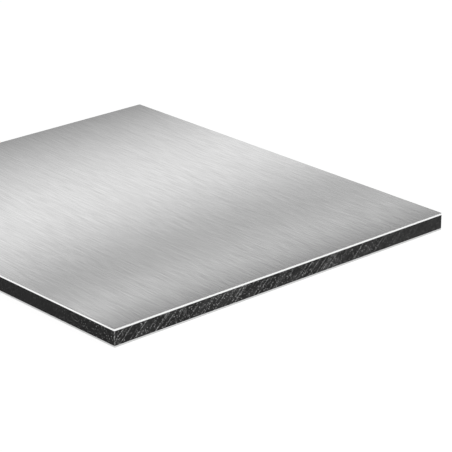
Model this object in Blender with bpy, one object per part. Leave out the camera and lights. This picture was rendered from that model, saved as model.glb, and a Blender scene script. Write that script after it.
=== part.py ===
"""Hand sample of an aluminium composite panel, lying flat with its brushed face up.

The panel is a bonded stack of three sheets: an aluminium face, a black polyethylene core and an
aluminium back. One saw cut goes through all three, so every sheet has the same outline.
The origin is the centre of the underside. X runs across the brushing, Y along it and Z up.
"""

import bmesh
import bpy
from mathutils import Vector

# Driving dimensions in metres.
PANEL_WIDTH = 0.0953
PANEL_LENGTH = 0.1056
FACE_SKIN = 0.0004
CORE_THICKNESS = 0.00312
BACK_SKIN = 0.0004
BOND_LINE = 0.00004
CORNER_RADIUS = 0.0003
FACE_EASED_EDGE = 0.00006
BACK_EASED_EDGE = 0.00004

# How finely the rounded stretches are divided.
CORNER_STEPS = 5
EASED_STEPS = 2

# The heights at which the sheets lie, worked out from the underside up.
BACK_BOTTOM = 0.0
CORE_BOTTOM = BACK_BOTTOM + BACK_SKIN + BOND_LINE
FACE_BOTTOM = CORE_BOTTOM + CORE_THICKNESS + BOND_LINE

UP = 1
DOWN = -1


def clear_scene():
    """Remove every object, so that the file runs the same way from Blender's text editor."""
    for old in list(bpy.data.objects):
        bpy.data.objects.remove(old, do_unlink=True)


def material(name, colour, metallic, roughness):
    """A plain Principled material in one colour."""
    made = bpy.data.materials.new(name)
    made.use_nodes = True
    shader = made.node_tree.nodes["Principled BSDF"]
    shader.inputs["Base Color"].default_value = (*colour, 1.0)
    shader.inputs["Metallic"].default_value = metallic
    shader.inputs["Roughness"].default_value = roughness
    made.diffuse_color = (*colour, 1.0)
    return made


def box(thickness):
    """A box with the panel's outline, centred on its own origin."""
    solid = bmesh.new()
    bmesh.ops.create_cube(solid, size=1.0)
    size = Vector((PANEL_WIDTH, PANEL_LENGTH, thickness))
    bmesh.ops.scale(solid, vec=size, verts=solid.verts)
    return solid


def round_corners(solid):
    """Round the four upright corners, which are broken with a file after sawing."""
    upright = []
    for edge in solid.edges:
        low, high = edge.verts
        if abs(high.co.z - low.co.z) > 0:
            upright.append(edge)
    bmesh.ops.bevel(
        solid,
        geom=upright,
        offset=CORNER_RADIUS,
        segments=CORNER_STEPS,
        profile=0.5,
        affect="EDGES",
    )


def ease_rim(solid, side, radius):
    """Round the rim of the sheet's outer face, which is the top when side is UP."""
    outer = max(side * vertex.co.z for vertex in solid.verts)
    rim = []
    for edge in solid.edges:
        on_outer_face = all(side * vertex.co.z == outer for vertex in edge.verts)
        if on_outer_face:
            rim.append(edge)
    bmesh.ops.bevel(
        solid,
        geom=rim,
        offset=radius,
        segments=EASED_STEPS,
        profile=0.5,
        affect="EDGES",
        clamp_overlap=True,
    )


def place(name, solid, bottom, thickness, finish, collection):
    """Turn a sheet into a named object that stands at its height in the stack."""
    mesh = bpy.data.meshes.new(name)
    solid.to_mesh(mesh)
    solid.free()
    mesh.materials.append(finish)
    sheet = bpy.data.objects.new(name, mesh)
    sheet.location = (0.0, 0.0, bottom + thickness / 2)
    collection.objects.link(sheet)
    return sheet


def face_sheet(collection):
    """The brushed aluminium sheet on top, with its outer rim eased."""
    brushed = material("brushed_aluminium", (0.62, 0.62, 0.63), 1.0, 0.32)
    solid = box(FACE_SKIN)
    round_corners(solid)
    ease_rim(solid, UP, FACE_EASED_EDGE)
    return place("face_sheet", solid, FACE_BOTTOM, FACE_SKIN, brushed, collection)


def core(collection):
    """The black polyethylene between the skins, sawn square on all four sides."""
    black = material("black_polyethylene", (0.022, 0.022, 0.023), 0.0, 0.55)
    solid = box(CORE_THICKNESS)
    round_corners(solid)
    return place("core", solid, CORE_BOTTOM, CORE_THICKNESS, black, collection)


def back_sheet(collection):
    """The aluminium sheet underneath, left as rolled, with its outer rim eased."""
    rolled = material("rolled_aluminium", (0.66, 0.66, 0.65), 1.0, 0.45)
    solid = box(BACK_SKIN)
    round_corners(solid)
    ease_rim(solid, DOWN, BACK_EASED_EDGE)
    return place("back_sheet", solid, BACK_BOTTOM, BACK_SKIN, rolled, collection)


def main():
    clear_scene()
    collection = bpy.data.collections.new("composite_panel")
    bpy.context.scene.collection.children.link(collection)
    face_sheet(collection)
    core(collection)
    back_sheet(collection)


main()
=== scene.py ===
# %% [markdown]
# # A hand sample of aluminium composite panel
#
# Composite panel is a sandwich: a thin aluminium face, a thick black polyethylene core and a thin
# aluminium back, bonded under heat and then sawn to size. Its character lies in three finishes that
# meet along one saw cut: the brushed face, the bright cut edge of the metal and the torn black plastic.
#
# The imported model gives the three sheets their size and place. This lesson gives each sheet a surface
# of its own, so that the saw's marks are real relief and not a picture on a flat wall.

import math

import bpy
import numpy as np
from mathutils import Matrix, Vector


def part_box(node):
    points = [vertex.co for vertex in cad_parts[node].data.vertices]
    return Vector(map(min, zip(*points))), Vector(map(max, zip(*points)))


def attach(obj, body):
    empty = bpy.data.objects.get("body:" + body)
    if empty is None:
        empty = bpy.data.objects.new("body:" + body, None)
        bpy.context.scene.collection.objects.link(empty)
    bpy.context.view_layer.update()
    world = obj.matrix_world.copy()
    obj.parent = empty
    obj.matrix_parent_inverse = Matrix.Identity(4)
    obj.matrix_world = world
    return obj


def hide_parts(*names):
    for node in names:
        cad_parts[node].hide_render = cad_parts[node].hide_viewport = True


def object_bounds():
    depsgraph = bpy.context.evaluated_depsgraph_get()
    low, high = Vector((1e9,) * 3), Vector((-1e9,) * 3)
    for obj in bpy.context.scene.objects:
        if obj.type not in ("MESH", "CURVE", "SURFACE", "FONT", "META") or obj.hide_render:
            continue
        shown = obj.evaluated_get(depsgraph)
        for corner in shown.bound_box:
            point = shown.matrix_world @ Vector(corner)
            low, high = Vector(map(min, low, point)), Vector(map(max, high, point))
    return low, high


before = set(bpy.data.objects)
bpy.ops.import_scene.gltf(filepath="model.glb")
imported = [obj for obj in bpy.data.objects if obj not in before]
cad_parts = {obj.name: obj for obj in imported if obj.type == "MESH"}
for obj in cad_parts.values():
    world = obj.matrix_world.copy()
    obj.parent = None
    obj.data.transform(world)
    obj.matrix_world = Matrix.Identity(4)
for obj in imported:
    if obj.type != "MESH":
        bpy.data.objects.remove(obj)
cad_low, cad_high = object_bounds()

MM = 0.001
panel_width = cad_high.x - cad_low.x
panel_length = cad_high.y - cad_low.y
panel_thickness = cad_high.z - cad_low.z
print(f"panel {panel_width / MM:.1f} x {panel_length / MM:.1f} x {panel_thickness / MM:.2f} mm")

# %% [markdown]
# ## The camera
#
# The photograph was taken with a long lens, low over one corner, so that the edges hardly converge.
# The camera could be placed by its coordinates, but a point to aim at, two angles and a distance say
# more about the picture, and each can be changed by itself.

# %% Aim the camera at the panel
CAMERA_AZIMUTH = -42.17
CAMERA_ELEVATION = 21.39
CAMERA_DISTANCE = 0.48576
CAMERA_LENS = 172.86
NEAREST_SEEN = 0.01
AIM = Vector((0.009697, -0.022318, 0.002))


def back_towards(azimuth, elevation):
    """The unit vector from the aim to the camera: azimuth 0 looks along +Y, elevation is above the floor."""
    a, e = math.radians(azimuth), math.radians(elevation)
    return Vector((math.sin(a) * math.cos(e), -math.cos(a) * math.cos(e), math.sin(e)))


def add_camera():
    """A camera at its distance from the aim, turned towards it."""
    data = bpy.data.cameras.new("camera")
    data.lens = CAMERA_LENS
    data.clip_start = NEAREST_SEEN
    camera = bpy.data.objects.new("camera", data)
    back = back_towards(CAMERA_AZIMUTH, CAMERA_ELEVATION)
    camera.location = AIM + back * CAMERA_DISTANCE
    camera.rotation_euler = back.to_track_quat("Z", "Y").to_euler()
    bpy.context.scene.collection.objects.link(camera)
    bpy.context.scene.camera = camera
    return camera


camera = add_camera()
print("camera stands at", [round(c, 4) for c in camera.location])

# %% [markdown]
# ## Small helpers for node trees
#
# A finish is a network of nodes. Adding a node and wiring its inputs by name takes one line each, so the
# helpers only join those two steps: a number sets a socket, and another node's output is linked to it.

# %% Helpers that add and wire nodes
# The numbers of a Mix node's sockets for colours, whose names it uses more than once.
MIX_FACTOR, MIX_FIRST, MIX_SECOND, MIX_RESULT = 0, 6, 7, 2


def feed(tree, socket, value):
    """Link the socket to another node's output, or set its value."""
    if isinstance(value, bpy.types.NodeSocket):
        tree.links.new(value, socket)
    else:
        socket.default_value = value


def add(tree, kind, inputs=None, **settings):
    """A node of that kind, with its settings and its inputs given by name or number."""
    made = tree.nodes.new("ShaderNode" + kind)
    for name, value in settings.items():
        setattr(made, name, value)
    for name, value in (inputs or {}).items():
        feed(tree, made.inputs[name], value)
    return made


def calculate(tree, operation, first, *others):
    """Math nodes in a row: the first value with the next one, then that result with the one after it."""
    for other in others or (0.0,):
        first = add(tree, "Math", {0: first, 1: other}, operation=operation).outputs[0]
    return first


def spread(tree, value, low, high, new_low, new_high):
    """The value carried from one range to another with a Map Range node, clamped at its ends."""
    made = add(tree, "MapRange", {"Value": value, 1: low, 2: high, 3: new_low, 4: new_high})
    return made.outputs["Result"]


def blend_colours(tree, factor, first, second):
    """Two colours mixed by a factor between 0 and 1."""
    inputs = {MIX_FACTOR: factor, MIX_FIRST: first, MIX_SECOND: second}
    return add(tree, "Mix", inputs, data_type="RGBA").outputs[MIX_RESULT]


def mix_shaders(tree, factor, first, second):
    """Two shaders mixed by a factor between 0 and 1."""
    return add(tree, "MixShader", {0: factor, 1: first.outputs[0], 2: second.outputs[0]})


def grey(level, warmth=0.0):
    """A neutral colour of that brightness, a little warmer or cooler."""
    return (level * (1 + warmth), level, level * (1 - warmth), 1.0)


WHITE = grey(1.0)
print("white is written as", WHITE)

# %% [markdown]
# ## The studio
#
# The background is pure white, and the panel leaves only a faint shadow close to its edge. A brighter
# lamp would burn the metal out, so the world and the floor show white to the camera and in reflections
# alone, and light everything else at a plain level.

# %% Make the world
WORLD_LIGHT = 0.43


def seen_directly(tree):
    """1 for rays from the camera and for those that a shiny or clear surface sends on, otherwise 0."""
    path = add(tree, "LightPath")
    seen = ("Is Camera Ray", "Is Glossy Ray", "Is Transmission Ray")
    return calculate(tree, "MAXIMUM", *[path.outputs[name] for name in seen])


def make_world():
    """A world that shows white and lights at its own plain level."""
    world = bpy.data.worlds.new("white_studio")
    world.use_nodes = True
    tree = world.node_tree
    background = tree.nodes["Background"]
    background.inputs["Color"].default_value = WHITE
    feed(tree, background.inputs["Strength"], spread(tree, seen_directly(tree), 0, 1, WORLD_LIGHT, 1.0))
    bpy.context.scene.world = world


make_world()
bpy.context.scene.view_settings.view_transform = "Standard"
print(f"the world shows white and lights at {WORLD_LIGHT}")

# %% [markdown]
# ## The floor
#
# A sweep of white paper would do in a studio. Here one large plane is enough, because it meets a world
# of the same white. Part of its brightness is its own, so the shadow beside the panel stays faint. It
# lies a hair below the panel, so that the two surfaces don't coincide. From below it is clear, so that
# the underside can be looked at too.

# %% Lay the floor
FLOOR_SIZE = 4.0
FLOOR_CLEARANCE = 0.01 * MM
FLOOR_PAPER = 0.82
FLOOR_GLOW = 1.1
FLOOR_GLOW_SHARE = 0.86


def flat_sheet(name, corners, material):
    """A single rectangle through four corners, which belongs to the studio and not to the panel."""
    mesh = bpy.data.meshes.new(name)
    mesh.from_pydata(corners, [], [(0, 1, 2, 3)])
    mesh.materials.append(material)
    sheet = bpy.data.objects.new(name, mesh)
    bpy.context.scene.collection.objects.link(sheet)
    return sheet


def empty_material(name):
    """A material without nodes yet, and its tree."""
    material = bpy.data.materials.new(name)
    material.use_nodes = True
    material.node_tree.nodes.clear()
    return material, material.node_tree


def paper():
    """White paper that takes light and shadow, glows where it is looked at, and is clear from below."""
    material, tree = empty_material("white_paper")
    lit = add(tree, "BsdfDiffuse", {"Color": grey(FLOOR_PAPER)})
    glow = add(tree, "Emission", {"Color": WHITE, "Strength": FLOOR_GLOW})
    share = calculate(tree, "MULTIPLY", seen_directly(tree), FLOOR_GLOW_SHARE)
    from_below = add(tree, "NewGeometry").outputs["Backfacing"]
    sheet = mix_shaders(tree, share, lit, glow)
    one_sided = mix_shaders(tree, from_below, sheet, add(tree, "BsdfTransparent"))
    add(tree, "OutputMaterial", {"Surface": one_sided.outputs[0]})
    return material


half, under = FLOOR_SIZE / 2, -FLOOR_CLEARANCE
floor_corners = [(-half, -half, under), (half, -half, under), (half, half, under), (-half, half, under)]
flat_sheet("floor", floor_corners, paper())
print(f"floor of {FLOOR_SIZE} m, {FLOOR_CLEARANCE / MM} mm under the panel")

# %% [markdown]
# ## The lamps
#
# A large soft lamp stands at the front right, so the long sawn side is a little lighter than the short
# one. A weaker one hangs above and fills in. Both are wide enough to cast no hard shadow. Reflections
# don't see the upper one, because it would burn a white patch into the brushed face.

# %% Hang the soft lamps
KEY_LAMP = {"azimuth": 15, "elevation": 30, "distance": 1.2, "size": 0.7, "power": 7.2}
TOP_LAMP = {"azimuth": 30, "elevation": 75, "distance": 1.4, "size": 0.8, "power": 1.6}


def soft_lamp(name, azimuth, elevation, distance, size, power):
    """A square area lamp that looks at the panel from an azimuth and elevation, as a camera would."""
    data = bpy.data.lights.new(name, "AREA")
    data.size = size
    data.energy = power
    lamp = bpy.data.objects.new(name, data)
    back = back_towards(azimuth, elevation)
    lamp.location = back * distance
    lamp.rotation_euler = back.to_track_quat("Z", "Y").to_euler()
    bpy.context.scene.collection.objects.link(lamp)
    print(f"{name}: {power} W over {size} m, {distance} m away")
    return lamp


soft_lamp("key_lamp", **KEY_LAMP)
top_lamp = soft_lamp("top_lamp", **TOP_LAMP)
top_lamp.visible_glossy = False

# %% [markdown]
# ## The reflector cards
#
# Brushed metal shows its surroundings as soft bands that lie across the brushing. The photograph has a
# wide bright band, a narrow one near the front edge, and darker metal between them. A photographer gets
# this with a dark card just behind the sample that carries two strip lights. The bands could be painted
# on the metal instead, but then they would stay in place when the panel or the camera moves.
#
# Each strip's brightness falls off as a bell curve over the card's height. A third, softer glow at the
# top keeps the face from going black where it is seen from higher up. Only reflections see the cards, so
# they neither stand in the picture nor shade the floor. A second card in front of the panel does the
# same for views from behind.

# %% Stand the cards in front and behind
CARD_GAP = 22.2 * MM
CARD_HEIGHT = 160 * MM
CARD_HALF_WIDTH = 0.6
WIDE_STRIP = {"height": 37.3 * MM, "below": 18.3 * MM, "above": 15.6 * MM, "strength": 0.99}
NARROW_STRIP = {"height": 70.8 * MM, "below": 3.9 * MM, "above": 3.9 * MM, "strength": 1.1}
UPPER_GLOW = {"height": 155 * MM, "below": 25 * MM, "above": 40 * MM, "strength": 0.65}


def strip_brightness(tree, level, height, below, above, strength):
    """strength x e^(-away^2 / 2), a bell curve over the card's height.

    away is the distance from the strip's middle in units of its softness, which may differ on its two
    sides: the larger of (level - height) / above and (height - level) / below.
    """
    over = calculate(tree, "DIVIDE", calculate(tree, "SUBTRACT", level, height), above)
    under = calculate(tree, "DIVIDE", calculate(tree, "SUBTRACT", height, level), below)
    away = calculate(tree, "MAXIMUM", over, under)
    falling = calculate(tree, "MULTIPLY", away, away, -0.5)
    return calculate(tree, "MULTIPLY", calculate(tree, "EXPONENT", falling), strength)


def strip_card_finish():
    """A dark card that glows in its strips, by the height above the floor."""
    material, tree = empty_material("strip_card")
    place = add(tree, "TexCoord").outputs["Object"]
    level = add(tree, "SeparateXYZ", {0: place}).outputs["Z"]
    strips = [strip_brightness(tree, level, **strip) for strip in (WIDE_STRIP, NARROW_STRIP, UPPER_GLOW)]
    strength = calculate(tree, "ADD", *strips)
    glow = add(tree, "Emission", {"Color": WHITE, "Strength": strength})
    add(tree, "OutputMaterial", {"Surface": glow.outputs[0]})
    return material


def strip_card(name, y, material):
    """An upright card across the brushing that only reflections see."""
    wide = CARD_HALF_WIDTH
    corners = [(-wide, y, 0), (wide, y, 0), (wide, y, CARD_HEIGHT), (-wide, y, CARD_HEIGHT)]
    card = flat_sheet(name, corners, material)
    card.visible_camera = False
    card.visible_diffuse = False
    card.visible_shadow = False
    print(f"{name} stands at y = {y / MM:.1f} mm and is {CARD_HEIGHT / MM:.0f} mm high")


card_finish = strip_card_finish()
strip_card("card_behind", cad_high.y + CARD_GAP, card_finish)
strip_card("card_in_front", cad_low.y - CARD_GAP, card_finish)

# %% [markdown]
# ## The outline of the saw cut
#
# One saw cut goes through all three sheets, so they share one outline: a rectangle whose corners were
# broken with a file. It is the path that every sheet's section is carried along. A Bevel modifier could
# round the corners, but an outline worked out as arrays also gives each point its distance along the
# cut, which the saw marks need.

# %% Work out the outline
CORNER_RADIUS = 0.3 * MM
CUT_STEP = 0.14 * MM
CORNER_STEPS = 8
# Each straight side has a multiple of this many points, so that the ring can be halved again and again.
SIDE_GROUP = 16
NEAR, RIGHT, FAR, LEFT = range(4)
ALONG = np.array([(1, 0), (0, 1), (-1, 0), (0, -1)])
OUTWARD = np.array([(0, -1), (1, 0), (0, 1), (-1, 0)])


def one_side(side):
    """A straight side and the quarter circle that ends it.

    The straight runs from -reach to +reach along the side at its full distance from the centre. The arc's
    points are its centre plus the radius times cos(angle) of this side's outward direction and sin(angle)
    of the next one's.
    """
    length, apart = (panel_width, panel_length) if side in (NEAR, FAR) else (panel_length, panel_width)
    reach = length / 2 - CORNER_RADIUS
    count = SIDE_GROUP * round(2 * reach / CUT_STEP / SIDE_GROUP)
    run = np.linspace(-reach, reach, count, endpoint=False)
    straight = run[:, None] * ALONG[side] + apart / 2 * OUTWARD[side]
    angle = np.linspace(0, np.pi / 2, CORNER_STEPS, endpoint=False)[:, None]
    bend = np.cos(angle) * OUTWARD[side] + np.sin(angle) * OUTWARD[(side + 1) % 4]
    centre = reach * ALONG[side] + (apart / 2 - CORNER_RADIUS) * OUTWARD[side]
    outward = np.vstack([np.tile(OUTWARD[side], (count, 1)), bend])
    return {
        "place": np.vstack([straight, centre + CORNER_RADIUS * bend]),
        "outward": outward,
        "run": np.concatenate([run, reach + CORNER_RADIUS * angle[:, 0]]) + length / 2,
        "side": np.full(count + CORNER_STEPS, side),
        "bend": np.concatenate([np.zeros(count), np.sin(2 * angle[:, 0])]),
    }


def whole_outline():
    """The four sides in turn, as one set of arrays."""
    sides = [one_side(side) for side in (NEAR, RIGHT, FAR, LEFT)]
    return {name: np.concatenate([side[name] for side in sides]) for name in sides[0]}


outline = whole_outline()
outline_points = len(outline["run"])
print(f"the outline has {outline_points} points, {CUT_STEP / MM} mm apart")

# %% [markdown]
# ## From a section to a wall
#
# A sheet is its section carried round the outline, as a picture frame's moulding is carried round the
# picture. Each point of the section becomes a ring of points. A curve with a bevel could do the same,
# but here every point of a ring may also be pushed in by a different amount.

# %% Carry a section round the outline
CAP_INSET = 0.35 * MM


def ring(inset, height, relief=0.0):
    """The outline shrunk towards the centre until its sides lie inset further in.

    x becomes x (1 - inset / half width) and y becomes y (1 - inset / half length). Relief then moves each
    point inwards along the outline's own outward direction.
    """
    shrink = 1 - inset / np.array([panel_width / 2, panel_length / 2])
    flat = outline["place"] * shrink - outline["outward"] * np.reshape(relief, (-1, 1))
    return np.column_stack([flat, np.broadcast_to(height, len(flat))])


def wall_faces(rows, count):
    """Quads between each ring and the next, going round and closing on the first point."""
    here = np.arange(count)
    after = (here + 1) % count
    base = np.arange(rows - 1)[:, None] * count
    quads = np.stack([base + here, base + after, base + count + after, base + count + here], axis=-1)
    return quads.reshape(-1, 4)


inset_ring = ring(CAP_INSET, 0.0)
print(f"a ring {CAP_INSET / MM} mm in is {np.ptp(inset_ring[:, 0]) / MM:.1f} mm wide")

# %% [markdown]
# ## From a wall to a closed sheet
#
# The flat faces inside the rim need far fewer points than the sawn edge. One polygon with more than two
# thousand corners would close each of them, but it shades badly. So each ring inwards has half as many
# points as the one before, until a fan of triangles closes the middle.

# %% Close the sheet
CAP_COARSEST = 90
SHARP_ANGLE = 35


def cap(first, count, inset, height, start):
    """Rings with half as many points each, and a fan to the centre.

    first is the number of the first point of the ring to close, start the number that the cap's own points
    begin at. Between a ring and its half, each pair of steps a, b, c becomes three triangles with the
    inner points p and q.
    """
    points, triangles = [], []
    step = 1
    while count % 2 == 0 and count > CAP_COARSEST:
        step *= 2
        inset *= 2
        inner = ring(inset, height)[::step]
        a = first + np.arange(0, count, 2)
        b = a + 1
        c = first + np.arange(2, count + 2, 2) % count
        p = start + np.arange(count // 2)
        q = start + (np.arange(count // 2) + 1) % (count // 2)
        triangles += [np.stack([a, b, p], 1), np.stack([b, q, p], 1), np.stack([b, c, q], 1)]
        points.append(inner)
        first, start, count = start, start + len(inner), count // 2
    around = first + np.arange(count)
    following = first + (np.arange(count) + 1) % count
    triangles.append(np.stack([around, following, np.full(count, start)], 1))
    points.append(np.array([(0.0, 0.0, height)]))
    return np.vstack(points), np.vstack(triangles)


def closed_sheet(name, rings, bottom, top):
    """A closed mesh: the rings from the underside up, with a flat cap inside the lowest and the highest."""
    low_rim, high_rim = ring(CAP_INSET, bottom), ring(CAP_INSET, top)
    wall = np.vstack([low_rim, *rings, high_rim])
    rows = len(rings) + 2
    quads = wall_faces(rows, outline_points)
    low_points, low_triangles = cap(0, outline_points, CAP_INSET, bottom, len(wall))
    last_row = (rows - 1) * outline_points
    high_start = len(wall) + len(low_points)
    high_points, high_triangles = cap(last_row, outline_points, CAP_INSET, top, high_start)
    points = np.vstack([wall, low_points, high_points])
    faces = quads.tolist() + low_triangles[:, ::-1].tolist() + high_triangles.tolist()
    mesh = bpy.data.meshes.new(name)
    mesh.from_pydata(points, [], faces)
    mesh.validate()
    mesh.shade_smooth()
    mesh.set_sharp_from_angle(angle=math.radians(SHARP_ANGLE))
    piece = bpy.data.objects.new(name, mesh)
    bpy.context.scene.collection.objects.link(piece)
    print(f"{name}: {len(points)} points, {len(quads) * 2 + len(low_triangles) * 2} triangles")
    return piece


cap_points, cap_triangles = cap(0, outline_points, CAP_INSET, 0.0, outline_points)
print(f"a cap takes {len(cap_points)} points and {len(cap_triangles)} triangles")

# %% [markdown]
# ## Random numbers that vary smoothly
#
# A saw leaves marks that are irregular but not noisy. Blender's noise textures exist only in shaders, and
# the mesh needs numbers of its own. Value noise gives them: random numbers stand at the corners of a
# grid, and each place between them is a smooth blend of its four corners.

# %% Value noise on arrays
NOISE_TABLE = 256


def value_noise(across, along, seed):
    """Random numbers on whole places, blended between them with the weight 3 t^2 - 2 t^3.

    across and along are arrays in units of the grid. The result lies between 0 and 1.
    """
    table = np.random.default_rng(seed).random((NOISE_TABLE, NOISE_TABLE))
    i, j = np.floor(across).astype(int), np.floor(along).astype(int)
    s, t = across - i, along - j
    s, t = s * s * (3 - 2 * s), t * t * (3 - 2 * t)
    i0, j0 = i % NOISE_TABLE, j % NOISE_TABLE
    i1, j1 = (i + 1) % NOISE_TABLE, (j + 1) % NOISE_TABLE
    low = table[i0, j0] * (1 - s) + table[i1, j0] * s
    high = table[i0, j1] * (1 - s) + table[i1, j1] * s
    return low * (1 - t) + high * t


def ramp(values, low, high):
    """0 up to low, 1 from high on, and a straight line between."""
    return np.clip((values - low) / (high - low), 0, 1)


def grains(across, along, wide, long, seed, low, high):
    """Value noise in grains that wide and long, which comes up from 0 at low to 1 at high."""
    return ramp(value_noise(across / wide, along / long, seed), low, high)


sample = value_noise(outline["run"] / MM, outline["run"] / MM, 0)
print(f"value noise along the outline lies between {sample.min():.2f} and {sample.max():.2f}")

# %% [markdown]
# ## How the saw went along each side
#
# The blade goes through the soft plastic at a slant and leaves a leaning groove for each tooth. It tears
# most where it enters, at the near corner, and cuts cleaner further on. The short left side was cut with
# a finer feed and is almost smooth. Four values a side say all this, so that a side can be sawn
# differently without touching the marks themselves.

# %% Say how each side was sawn
face_low, face_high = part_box("face_sheet")
back_low, back_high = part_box("back_sheet")
core_bottom, core_top = back_high.z, face_low.z

# A side of the panel: how far its saw lines lean, how much they show, how hard the blade tore there, and
# between which distances from where it entered the cut becomes clean.
SAW = {
    NEAR: {"lean": 43, "lined": 1.0, "coarse": 1.0, "clean_from": 55 * MM, "clean_by": 90 * MM},
    RIGHT: {"lean": 60, "lined": 0.3, "coarse": 0.6, "clean_from": 6 * MM, "clean_by": 50 * MM},
    FAR: {"lean": 43, "lined": 1.0, "coarse": 0.9, "clean_from": 40 * MM, "clean_by": 90 * MM},
    LEFT: {"lean": 60, "lined": 0.08, "coarse": 1.8, "clean_from": 5 * MM, "clean_by": 22 * MM},
}
# What is left of the tearing where the cut is clean.
CLEAN_TEARING = 0.12


def saw_value(name, side):
    """One of the values above, for each point's side."""
    return np.array([SAW[s][name] for s in range(4)])[side]


def saw_places(run, height, side):
    """Where each point lies across the saw lines and along them.

    A line that leans by an angle keeps the same run - height / tan(angle) all the way up, so that is the
    place across the lines, and height / sin(angle) is the place along one.
    """
    lean = np.radians(saw_value("lean", side))
    return run - height / np.tan(lean), height / np.sin(lean)


def fade(values, start, end):
    """1 up to start, 0 from end on, and a smooth step between."""
    t = ramp(values, start, end)
    return 1 - t * t * (3 - 2 * t)


def tearing(run, side):
    """How hard the blade tore: full where it entered, and only a little where it cut clean."""
    from_entry = np.where(side == LEFT, panel_length - run, run)
    torn_share = fade(from_entry, saw_value("clean_from", side), saw_value("clean_by", side))
    return saw_value("coarse", side) * (CLEAN_TEARING + (1 - CLEAN_TEARING) * torn_share)


outline_tearing = tearing(outline["run"], outline["side"])
print(f"core from {core_bottom / MM:.2f} to {core_top / MM:.2f} mm above the floor")
print(f"torn {outline_tearing.mean():.2f} on average, where 1 is the near side at the entry")

# %% [markdown]
# ## The saw's marks
#
# Sawn plastic carries broad waves, a fine groove for each tooth, scratches broken into dots, and specks
# where the plastic tore and turned pale. They could be bump in the material, but then the edge would be a
# flat wall in the exported mesh. So each mark is a depth, always inwards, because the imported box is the
# sheet's full size.

# %% Work out the marks
MICRON = MM / 1000

# Each mark's grain size, the seed of its noise, and the noise values between which it comes up. The first
# four lie across and along the saw lines, the others along the cut and up it.
WAVES = {"wide": 2.4 * MM, "long": 6 * MM, "seed": 11, "low": 0.4, "high": 0.8}
GROOVES = {"wide": 0.32 * MM, "long": 12 * MM, "seed": 12, "low": 0, "high": 1}
LINES = {"wide": 0.42 * MM, "long": 14 * MM, "seed": 13, "low": 0.7, "high": 0.82}
DOTS = {"wide": 0.5 * MM, "long": 0.42 * MM, "seed": 14, "low": 0.42, "high": 0.6}
SPECKS = {"wide": 0.4 * MM, "long": 0.38 * MM, "seed": 15, "low": 0.76, "high": 0.86}
PATCHES = {"wide": 2.6 * MM, "long": 1.7 * MM, "seed": 16, "low": 0.3, "high": 0.6}
FIBRES = {"wide": 0.15 * MM, "long": 0.26 * MM, "seed": 21, "low": 0.35, "high": 0.7}

# The share of a scratch that stays between its dots.
UNBROKEN = 0.15
# Depths in thousandths of a millimetre, and how pale each mark turns the plastic.
LEAST_DEPTH = 2
DEPTH = {"waves": 6, "grooves": 6, "scratches": 10, "specks": 8}
PALE = {"scratches": 0.05, "specks": 0.12, "waves": 0.03}
# Where on a corner's bend the fibres begin and are full, and how strong they are between and in the dots.
FRAY_BEND = (0.45, 0.9)
FRAY_LEAST, FRAY_DOTS = 0.15, 0.75


def saw_marks(run, height, side):
    """Depth of the marks, and how torn the plastic is, for every place on the wall."""
    across, along = saw_places(run, height, side)
    tear, lined = tearing(run, side), saw_value("lined", side)
    waves, grooves = grains(across, along, **WAVES), grains(across, along, **GROOVES)
    lines, dots = grains(across, along, **LINES), grains(across, along, **DOTS)
    specks, patches = grains(run, height, **SPECKS), grains(run, height, **PATCHES)
    scratches = lined * lines * (UNBROKEN + (1 - UNBROKEN) * dots)
    pale_specks = PALE["specks"] * specks * patches
    torn = tear * (PALE["scratches"] * scratches + pale_specks + PALE["waves"] * lined * waves)
    furrows = lined * (DEPTH["waves"] * waves + DEPTH["grooves"] * tear * grooves)
    tears = tear * (DEPTH["scratches"] * scratches + DEPTH["specks"] * specks)
    return (LEAST_DEPTH + furrows + tears) * MICRON, torn


def frayed_corners(bend, run, height):
    """Pale fibres along the upright corners, where the file broke the edge: dots up a thin line."""
    return ramp(bend, *FRAY_BEND) * (FRAY_LEAST + FRAY_DOTS * grains(run, height, **FIBRES))


middle = np.full(outline_points, (core_bottom + core_top) / 2)
middle_depth = saw_marks(outline["run"], middle, outline["side"])[0] / MICRON
print(f"marks {middle_depth.min():.0f} to {middle_depth.max():.0f} thousandths of a millimetre deep")

# %% [markdown]
# ## The sawn core
#
# The core's wall is a fine grid that carries the marks. The same marks are stored on the mesh point by
# point, for the material, which paints torn plastic paler. A painted image could carry them as well, but
# stored values need no picture and stay with the points. The wall also fills the bond lines, so that no
# light shows between the sheets.

# %% Make the core
CORE_ROWS = 29
FRAY_SHOWN_LEFT, FRAY_SHOWN = 1.0, 0.25
FRAY_DEPTH = 0.02 * MM


def store(piece, name, kind, values, first):
    """Keep one value or vector for each of the piece's points, counted from the first; the rest stay 0."""
    width = 3 if kind == "FLOAT_VECTOR" else 1
    rows = np.reshape(values, (-1, width))
    kept = np.zeros((len(piece.data.vertices), width), np.float32)
    kept[first : first + len(rows)] = rows
    field = "vector" if kind == "FLOAT_VECTOR" else "value"
    piece.data.attributes.new(name, kind, "POINT").data.foreach_set(field, kept.ravel())


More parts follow.
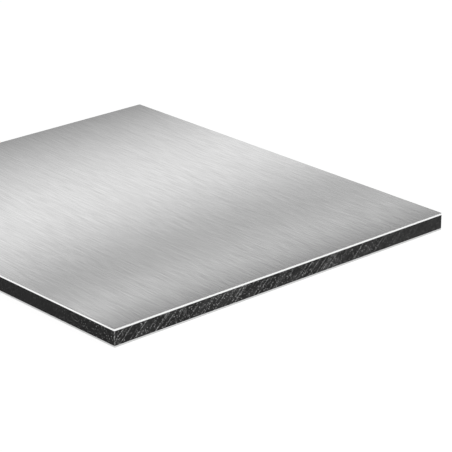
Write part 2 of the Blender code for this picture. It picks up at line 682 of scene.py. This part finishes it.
def make_core():
    """A grid of sawn wall, one ring for each height, with its marks stored point by point."""
    heights = np.linspace(core_bottom, core_top, CORE_ROWS)
    height, run = np.meshgrid(heights, outline["run"], indexing="ij")
    side = np.broadcast_to(outline["side"], run.shape)
    bend = np.broadcast_to(outline["bend"], run.shape)
    depth, torn = saw_marks(run, height, side)
    fray = frayed_corners(bend, run, height) * np.where(side == LEFT, FRAY_SHOWN_LEFT, FRAY_SHOWN)
    rings = [ring(0.0, heights[row], depth[row] + FRAY_DEPTH * fray[row]) for row in range(CORE_ROWS)]
    piece = closed_sheet("sawn_core", rings, core_bottom, core_top)
    across, along = saw_places(run, height, side)
    places = np.stack([across, along, np.zeros_like(across)], axis=-1)
    # The wall's points come after those of the lower rim, which is one ring.
    store(piece, "torn", "FLOAT", np.clip(torn + fray, 0, 1), outline_points)
    store(piece, "tear", "FLOAT", tearing(run, side), outline_points)
    store(piece, "lined", "FLOAT", saw_value("lined", side), outline_points)
    store(piece, "saw_place", "FLOAT_VECTOR", places, outline_points)
    return piece


core = make_core()

# %% [markdown]
# ## The finish of the sawn plastic
#
# Polyethylene with carbon black is a deep black. Sawn, it is dull, with pale dust and torn fibres where
# the blade bit. The mesh's stored marks are too coarse for single fibres, so the shader adds them: noise
# stretched along the saw lines, whose place on the lines is stored too. The base colour then runs from
# black to pale grey.

# %% Mix the core's material
MOTTLE_SIZE = 1.1 * MM
DUST_SIZE = 0.34 * MM

# Marks along the saw lines: the grain size across and along them, the noise's detail, the noise values
# between which a mark comes up, and how strong it is below and above them.
LONG_MARKS = {"sizes": (0.55 * MM, 50 * MM, 1), "detail": 0, "come_up": (0.65, 0.68), "strength": (0, 1)}
SHORT_MARKS = {"sizes": (0.4 * MM, 8 * MM, 1), "detail": 0, "come_up": (0.7, 0.73), "strength": (0, 0.8)}
BREAKS = {"sizes": (0.4 * MM, 0.34 * MM, 1), "detail": 1, "come_up": (0.5, 0.56), "strength": (0.1, 1)}
SPECK_NOISE = (0.65, 0.69)
SPECK_STRENGTH = 0.9
FINE_MARKS = 0.62

# Brightness of the plastic: torn fibres, clean plastic, what the blade smeared on smooth and on lined
# sides, and the deep black between the fibres.
FIBRE_GREY = 0.5
CLEAN_BLACK = 0.011
SMEARED_SMOOTH, SMEARED_LINED = 0.016, 0.034
TORN_BLACK = 0.009
TORN_BLACK_SHARE = 0.75
SMEAR_NOISE = (0.35, 0.7)

PLASTIC_NOISE = (0.3, 0.7)
PLASTIC_ROUGHNESS = (0.5, 0.66)
PLASTIC_SPECULAR = 0.12
DUST_DEPTH = 0.01 * MM
DUST_BUMP = 0.6


def new_finish(name):
    """A material, its tree and its Principled shader, and the place in the object's own coordinates."""
    material = bpy.data.materials.new(name)
    material.use_nodes = True
    tree = material.node_tree
    place = add(tree, "TexCoord").outputs["Object"]
    return material, tree, tree.nodes["Principled BSDF"], place


def noise(tree, place, sizes, detail=2.0, rough=0.5):
    """Noise whose grains have these sizes in metres along the three axes of the given coordinates."""
    scaled = add(tree, "Mapping", {"Vector": place, "Scale": tuple(1 / size for size in sizes)})
    inputs = {"Vector": scaled.outputs[0], "Scale": 1.0, "Detail": detail, "Roughness": rough}
    return add(tree, "TexNoise", inputs).outputs["Fac"]


def line_marks(tree, saw_place, sizes, detail, come_up, strength):
    """Marks that follow the saw lines, as strong as one of the settings above says."""
    return spread(tree, noise(tree, saw_place, sizes, detail), *come_up, *strength)


def stored(tree, name, kind="Fac"):
    """What the mesh has stored under that name."""
    return add(tree, "Attribute", attribute_name=name).outputs[kind]


def dent(tree, shader, height, depth, strength):
    """A slight relief in the shading only."""
    bump = add(tree, "Bump", {"Height": height, "Distance": depth, "Strength": strength})
    feed(tree, shader.inputs["Normal"], bump.outputs[0])


def pale_marks(tree, dust):
    """How pale the plastic is: the larger of what the mesh has stored and the fine marks added here."""
    saw_place = stored(tree, "saw_place", "Vector")
    tear, lined = stored(tree, "tear"), stored(tree, "lined")
    marks = (LONG_MARKS, SHORT_MARKS, BREAKS)
    long_marks, short_marks, breaks = [line_marks(tree, saw_place, **mark) for mark in marks]
    fibres = calculate(tree, "MAXIMUM", long_marks, short_marks)
    fibres = calculate(tree, "MULTIPLY", fibres, breaks, lined)
    specks = spread(tree, dust, *SPECK_NOISE, 0, SPECK_STRENGTH)
    fine = calculate(tree, "MULTIPLY", tear, calculate(tree, "MAXIMUM", fibres, specks), FINE_MARKS)
    return calculate(tree, "MAXIMUM", stored(tree, "torn"), fine)


def sawn_polyethylene():
    """Black plastic with the saw's smears, dust and torn fibres."""
    material, tree, shader, place = new_finish("sawn_polyethylene")
    mottle = noise(tree, place, (MOTTLE_SIZE,) * 3, detail=3.0)
    dust = noise(tree, place, (DUST_SIZE,) * 3, detail=1.0)
    smear = blend_colours(tree, stored(tree, "lined"), grey(SMEARED_SMOOTH), grey(SMEARED_LINED))
    smeared = blend_colours(tree, spread(tree, mottle, *SMEAR_NOISE, 0, 1), grey(CLEAN_BLACK), smear)
    deep = calculate(tree, "MULTIPLY", stored(tree, "tear"), TORN_BLACK_SHARE)
    black = blend_colours(tree, deep, smeared, grey(TORN_BLACK))
    colour = blend_colours(tree, pale_marks(tree, dust), black, grey(FIBRE_GREY))
    feed(tree, shader.inputs["Base Color"], colour)
    feed(tree, shader.inputs["Roughness"], spread(tree, mottle, *PLASTIC_NOISE, *PLASTIC_ROUGHNESS))
    shader.inputs["Specular IOR Level"].default_value = PLASTIC_SPECULAR
    dent(tree, shader, dust, DUST_DEPTH, DUST_BUMP)
    return material


core.data.materials.append(sawn_polyethylene())
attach(core, "root")
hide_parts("core")
print(f"{core.name} wears {core.data.materials[0].name}")

# %% [markdown]
# ## The aluminium sheets
#
# Each skin is 0.4 mm thick. The rim of its outer face is eased by a few hundredths of a millimetre, which
# is what catches the light as a hairline. The cut edge below it carries faint saw lines. A thin box with
# a bevel would do from afar, but the hairline is as wide as a pixel here, so the section is drawn point
# by point and carried round the outline like the core's.

# %% Make the two skins
FACE_EASED_EDGE = 0.06 * MM
BACK_EASED_EDGE = 0.04 * MM
EASED_STEPS = 4
CUT_ROWS = 5
CUT_LINE_WIDTH, CUT_LINE_LENGTH = 0.3 * MM, 0.5 * MM
CUT_DEPTH = 0.006 * MM
# The flat face's first ring lies this many rim radii in, and keeps the rim's shading off the face.
SUPPORT_RADII = 1.6
UP, DOWN = 1, -1
FACE_SEED, BACK_SEED = 31, 32


def eased_rim(radius, height, side):
    """A quarter circle from the cut edge to the outer face, as (inset, height) pairs.

    inset = radius (1 - cos a) and height = face - radius (1 - sin a), for a from 0 to 90 degrees. With side
    DOWN the outer face is the lower one.
    """
    angle = np.linspace(0, np.pi / 2, EASED_STEPS + 1)
    return [(radius * (1 - math.cos(a)), height - side * radius * (1 - math.sin(a))) for a in angle]


def cut_relief(height, seed):
    """Fine upright saw lines on the cut metal at that height, a few thousandths of a millimetre deep."""
    heights = np.full(outline_points, height)
    return CUT_DEPTH * value_noise(outline["run"] / CUT_LINE_WIDTH, heights / CUT_LINE_LENGTH, seed)


def make_skin(name, inner, outer, radius, side, seed):
    """A skin between its inner and outer face heights, with its outer rim eased."""
    rim = eased_rim(radius, outer, side)
    cut = np.linspace(inner, rim[0][1], CUT_ROWS)
    rings = [ring(0.0, height, cut_relief(height, seed)) for height in cut]
    last_relief = cut_relief(cut[-1], seed)
    for step, (inset, height) in enumerate(rim[1:], start=1):
        rings.append(ring(inset, height, last_relief * (1 - step / EASED_STEPS)))
    rings.append(ring(radius * SUPPORT_RADII, outer))
    if side == DOWN:
        rings.reverse()
    return closed_sheet(name, rings, min(inner, outer), max(inner, outer))


face = make_skin("brushed_face", face_low.z, face_high.z, FACE_EASED_EDGE, UP, FACE_SEED)
back = make_skin("rolled_back", back_high.z, back_low.z, BACK_EASED_EDGE, DOWN, BACK_SEED)

# %% [markdown]
# ## Which faces are sheet and which are cut
#
# A skin has two finishes: its rolled or brushed faces, and the bright metal that the saw laid open. A
# face of the mesh belongs to the cut when its normal points sideways. The brushing's direction comes
# from a flat map, because an anisotropic shader needs one to tell across from along.

# %% Tell the cut from the sheet, and lay the brushing's map
CUT_LEAN = 20
MAP_REPEATS = 10
MAP_CENTRE = 0.5


def assign_cut(piece, sheet_finish, cut_finish):
    """The second material goes to every face whose normal leans more than CUT_LEAN degrees from upright."""
    mesh = piece.data
    mesh.materials.append(sheet_finish)
    mesh.materials.append(cut_finish)
    normals = np.zeros(len(mesh.polygons) * 3, np.float32)
    mesh.polygons.foreach_get("normal", normals)
    upright = np.abs(normals.reshape(-1, 3)[:, 2])
    is_cut = (upright < math.cos(math.radians(CUT_LEAN))).astype(np.int32)
    mesh.polygons.foreach_set("material_index", is_cut)
    print(f"{piece.name}: {is_cut.sum()} faces on the cut, {len(is_cut) - is_cut.sum()} on the sheet")


def brushing_map(piece):
    """A flat UV map: u = x MAP_REPEATS + MAP_CENTRE across the brushing, and v the same with y along it."""
    mesh = piece.data
    corners = np.zeros(len(mesh.loops), np.int32)
    mesh.loops.foreach_get("vertex_index", corners)
    places = np.zeros(len(mesh.vertices) * 3, np.float32)
    mesh.vertices.foreach_get("co", places)
    flat = places.reshape(-1, 3)[corners, :2] * MAP_REPEATS + MAP_CENTRE
    mesh.uv_layers.new(name="brushing").data.foreach_set("uv", flat.ravel())
    print(f"{piece.name}: map from {flat.min():.2f} to {flat.max():.2f}")


brushing_map(face)
brushing_map(back)

# %% [markdown]
# ## The brushed face
#
# An abrasive belt draws long fine scratches along the sheet, here a few degrees off its edge. They make
# the metal rougher across the brushing than along it. The Principled shader does that with Anisotropic
# and a tangent across the brushing. The streaks themselves could be a picture of scratches, but noise
# stretched 22 to 25 times along the brushing never repeats. It lightens and darkens the colour, changes
# the gloss a little and dents the surface. Larger patches let the streaks fade and come back.

# %% Mix the brushed finish
BRUSHING_SKEW = 2.6
FINE_STREAKS = {"width": 0.24 * MM, "length": 6 * MM}
MEDIUM_STREAKS = {"width": 0.5 * MM, "length": 11 * MM}
STREAK_PATCHES = {"width": 6 * MM, "length": 16 * MM}
FINE_SHARE, MEDIUM_SHARE = 0.84, 0.16
NOISE_MEAN = 0.5
PATCH_NOISE, PATCH_CONTRAST = (0.35, 0.65), (0.7, 1.0)
STREAK_RANGE = (-0.2, 0.2)

FACE_METAL = 0.74
STREAK_DARK, STREAK_LIGHT = 0.875, 1.125
FACE_ROUGHNESS = (0.168, 0.152)
FACE_ANISOTROPIC = 0.75
FACE_BUMP_DEPTH, FACE_BUMP = 0.001 * MM, 0.3


def stretched_noise(tree, place, width, length, detail=1.0, skew=BRUSHING_SKEW):
    """Noise whose grains are that wide across the brushing and that long along it."""
    turned = add(tree, "Mapping", {"Vector": place, "Rotation": (0, 0, math.radians(skew))})
    return noise(tree, turned.outputs[0], (width, length, width), detail, rough=0.6)


def wire_metal(tree, shader, colour, roughness):
    """Bare metal of that colour and roughness."""
    shader.inputs["Metallic"].default_value = 1.0
    feed(tree, shader.inputs["Base Color"], colour)
    feed(tree, shader.inputs["Roughness"], roughness)


def brush(tree, shader, anisotropic):
    """Spread the reflection across the brushing, which is the map's first direction."""
    shader.inputs["Anisotropic"].default_value = anisotropic
    tangent = add(tree, "Tangent", direction_type="UV_MAP", uv_map="brushing")
    feed(tree, shader.inputs["Tangent"], tangent.outputs[0])


def brushed_aluminium():
    """Satin metal with fine streaks along Y."""
    material, tree, shader, place = new_finish("brushed_aluminium_face")
    fine = stretched_noise(tree, place, **FINE_STREAKS)
    medium = stretched_noise(tree, place, **MEDIUM_STREAKS)
    patches = stretched_noise(tree, place, **STREAK_PATCHES)
    fine_part = calculate(tree, "MULTIPLY", fine, FINE_SHARE)
    medium_part = calculate(tree, "MULTIPLY", medium, MEDIUM_SHARE)
    around_zero = calculate(tree, "SUBTRACT", calculate(tree, "ADD", fine_part, medium_part), NOISE_MEAN)
    shade = calculate(tree, "MULTIPLY", around_zero, spread(tree, patches, *PATCH_NOISE, *PATCH_CONTRAST))
    dark, light = grey(FACE_METAL * STREAK_DARK), grey(FACE_METAL * STREAK_LIGHT)
    colour = blend_colours(tree, spread(tree, shade, *STREAK_RANGE, 0, 1), dark, light)
    wire_metal(tree, shader, colour, spread(tree, shade, *STREAK_RANGE, *FACE_ROUGHNESS))
    brush(tree, shader, FACE_ANISOTROPIC)
    dent(tree, shader, fine, FACE_BUMP_DEPTH, FACE_BUMP)
    return material


face_finish = brushed_aluminium()
print(f"{face_finish.name} sends back {FACE_METAL} of the light")

# %% [markdown]
# ## The metal that the saw laid open
#
# Freshly cut aluminium sends back nearly all the light, more than the brushed face does, so the cut edge
# is the brightest line of all. On the underside's skin it is rougher, and darker as painted shade for the
# shadow along the floor. One recipe with two levels serves both, because the same blade made them.

# %% Mix the cut metal
CUT_GRAIN_SCALE = 2600.0
CUT_GRAIN_RANGE = (0.3, 0.7)
CUT_DARKER = 0.95
CUT_ROUGHER = 0.08
CUT_BUMP_DEPTH, CUT_BUMP = 0.004 * MM, 0.4
FRESH_CUT = {"level": 1.0, "roughness": 0.26}
# The underside's cut is rougher, and its lower level is painted shade for the shadow where the panel meets
# the floor.
DULL_SHADED_CUT = {"level": 0.66, "roughness": 0.42}


def cut_aluminium(name, level, roughness):
    """Sawn metal with a fine grain."""
    material, tree, shader, place = new_finish(name)
    grain_inputs = {"Vector": place, "Scale": CUT_GRAIN_SCALE, "Detail": 3.0}
    grain = add(tree, "TexNoise", grain_inputs).outputs["Fac"]
    share = spread(tree, grain, *CUT_GRAIN_RANGE, 0, 1)
    colour = blend_colours(tree, share, grey(level * CUT_DARKER), grey(level))
    gloss = spread(tree, grain, *CUT_GRAIN_RANGE, roughness, roughness + CUT_ROUGHER)
    wire_metal(tree, shader, colour, gloss)
    dent(tree, shader, grain, CUT_BUMP_DEPTH, CUT_BUMP)
    return material


fresh_cut = cut_aluminium("fresh_cut_aluminium", **FRESH_CUT)
# The underside's cut has painted shade: a darker metal level in place of the shadow along the floor.
dull_shaded_cut = cut_aluminium("dull_cut_aluminium_painted_shade", **DULL_SHADED_CUT)
print(f"{fresh_cut.name} sends back {FRESH_CUT['level']} of the light, {dull_shaded_cut.name} {DULL_SHADED_CUT['level']}")

# %% [markdown]
# ## The rolled back
#
# The underside is left as it came from the rolling mill: duller than the face, with faint lines along
# the rolling and soft clouds. It could be one plain grey, but then it would look like paper from close
# by. So it is made like the brushed finish, with longer lines, less contrast and a wider reflection.

# %% Mix the rolled finish
ROLLED_LINES = {"width": 0.4 * MM, "length": 30 * MM, "detail": 3.0, "skew": 0}
CLOUD_SCALE = 60.0
LINES_SHARE, CLOUD_SHARE = 0.6, 0.4
ROLLED_DARK, ROLLED_LIGHT, ROLLED_WARMTH = 0.62, 0.68, 0.004
ROLLED_TINT_RANGE = (0.35, 0.65)
ROLLED_GLOSS_RANGE, ROLLED_ROUGHNESS = (0.3, 0.7), (0.48, 0.4)
ROLLED_ANISOTROPIC = 0.3
ROLLED_BUMP_DEPTH, ROLLED_BUMP = 0.003 * MM, 0.4


def rolled_aluminium():
    """Dull metal with faint lines along Y and soft clouds."""
    material, tree, shader, place = new_finish("rolled_aluminium_back")
    lines = stretched_noise(tree, place, **ROLLED_LINES)
    cloud = add(tree, "TexNoise", {"Vector": place, "Scale": CLOUD_SCALE, "Detail": 4.0}).outputs["Fac"]
    line_part = calculate(tree, "MULTIPLY", lines, LINES_SHARE)
    cloud_part = calculate(tree, "MULTIPLY", cloud, CLOUD_SHARE)
    shade = calculate(tree, "ADD", line_part, cloud_part)
    dark, light = grey(ROLLED_DARK, ROLLED_WARMTH), grey(ROLLED_LIGHT, ROLLED_WARMTH)
    colour = blend_colours(tree, spread(tree, shade, *ROLLED_TINT_RANGE, 0, 1), dark, light)
    wire_metal(tree, shader, colour, spread(tree, shade, *ROLLED_GLOSS_RANGE, *ROLLED_ROUGHNESS))
    brush(tree, shader, ROLLED_ANISOTROPIC)
    dent(tree, shader, lines, ROLLED_BUMP_DEPTH, ROLLED_BUMP)
    return material


back_finish = rolled_aluminium()
print(f"{back_finish.name} sends back {ROLLED_DARK} to {ROLLED_LIGHT} of the light")

# %% [markdown]
# ## Dress the two skins
#
# Each skin takes its sheet finish and its cut finish, rides on the panel's one body, and stands in for
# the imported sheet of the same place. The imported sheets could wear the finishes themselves, but their
# walls are too coarse for the saw's lines.

# %% Dress the skins
assign_cut(face, face_finish, fresh_cut)
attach(face, "root")
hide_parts("face_sheet")

assign_cut(back, back_finish, dull_shaded_cut)
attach(back, "root")
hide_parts("back_sheet")
